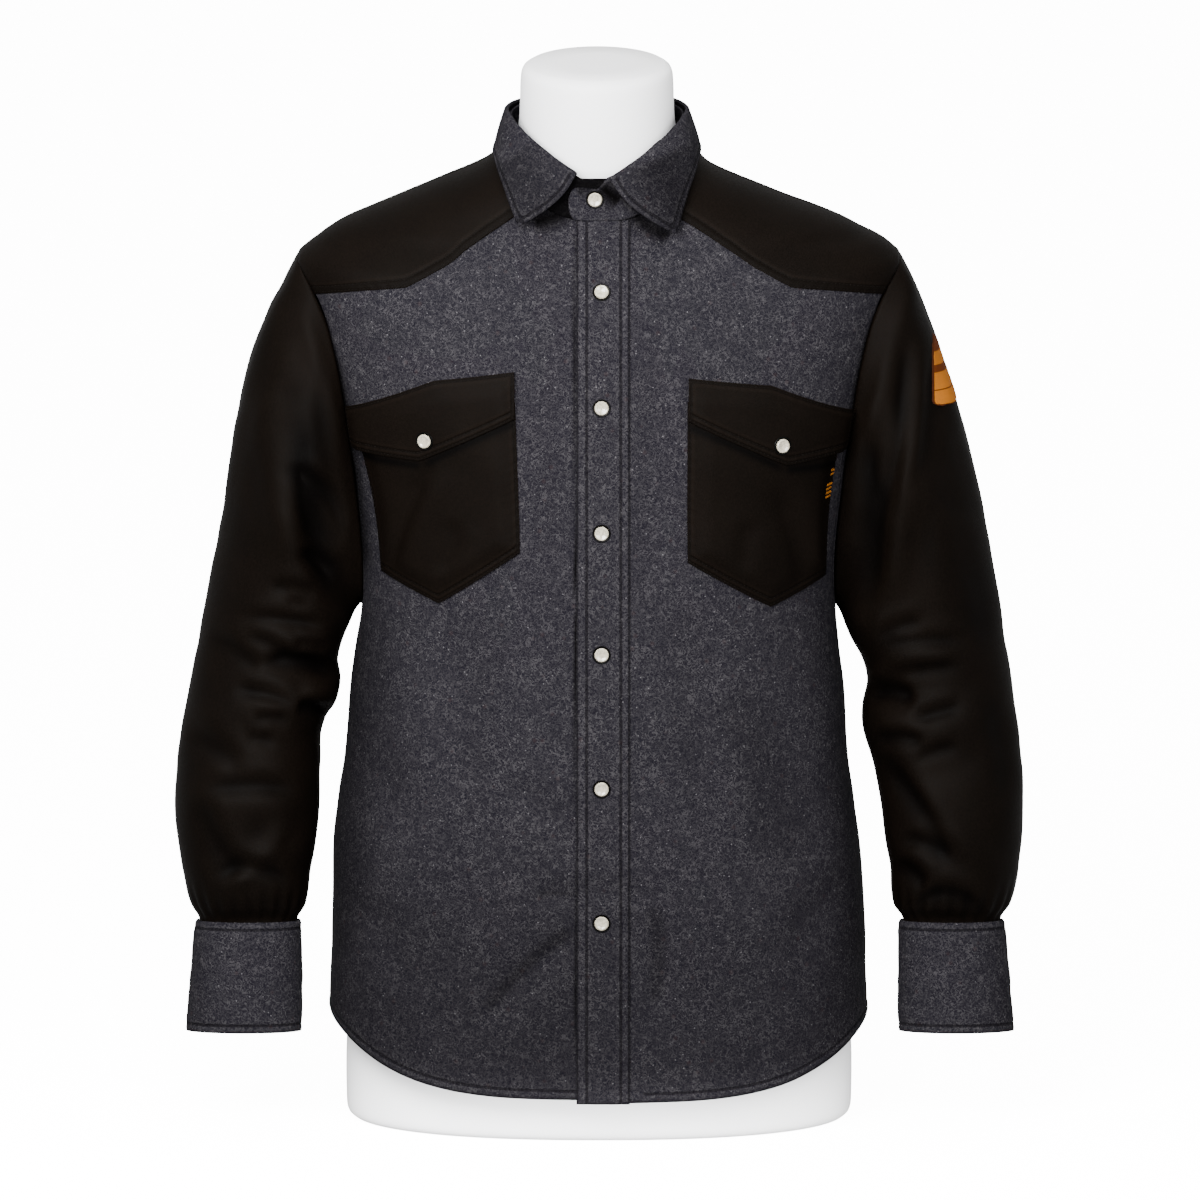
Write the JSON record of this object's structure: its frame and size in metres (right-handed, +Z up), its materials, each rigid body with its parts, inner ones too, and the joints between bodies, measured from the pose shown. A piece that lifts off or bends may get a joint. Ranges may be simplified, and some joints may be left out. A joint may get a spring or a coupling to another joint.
{
  "type": "western snap shirt on a limbless dress form",
  "caption": "Long-sleeved western shirt with snap fastening, pointed yokes and flapped chest pockets, worn by a limbless dress form.",
  "frame": {"origin": "centre of the dress form's flat base, on the surface it stands on", "axes": "+Z up; the shirt's front faces -Y; the wearer's left is +X"},
  "size_m": [0.6628, 0.2965, 0.8386],
  "materials": {
    "denim": "mottled charcoal denim",
    "twill": "brown-black twill with a soft sheen",
    "snap": "pearl cap in a polished metal ring",
    "label": "woven label, bare of text",
    "form": "smooth matte white"
  },
  "bodies": {
    "root": {"front_left": "denim", "front_right": "denim", "back": "denim", "placket": "denim", "collar_stand": "denim", "collar_fall": "denim", "cuff_left": "denim", "cuff_right": "denim", "front_yoke_left": "twill", "front_yoke_right": "twill", "back_yoke": "twill", "sleeve_left": "twill", "sleeve_right": "twill", "pocket_left": "twill", "pocket_right": "twill", "flap_left": "twill", "flap_right": "twill", "snap_band_1": "snap", "snap_band_2": "snap", "snap_band_3": "snap", "snap_band_4": "snap", "snap_band_5": "snap", "snap_band_6": "snap", "snap_flap_left": "snap", "snap_flap_right": "snap", "snap_stand": "snap", "snap_cuff_left_1": "snap", "snap_cuff_left_2": "snap", "snap_cuff_right_1": "snap", "snap_cuff_right_2": "snap", "sleeve_label": "label", "dress_form": "form"}
  },
  "joints": []
}
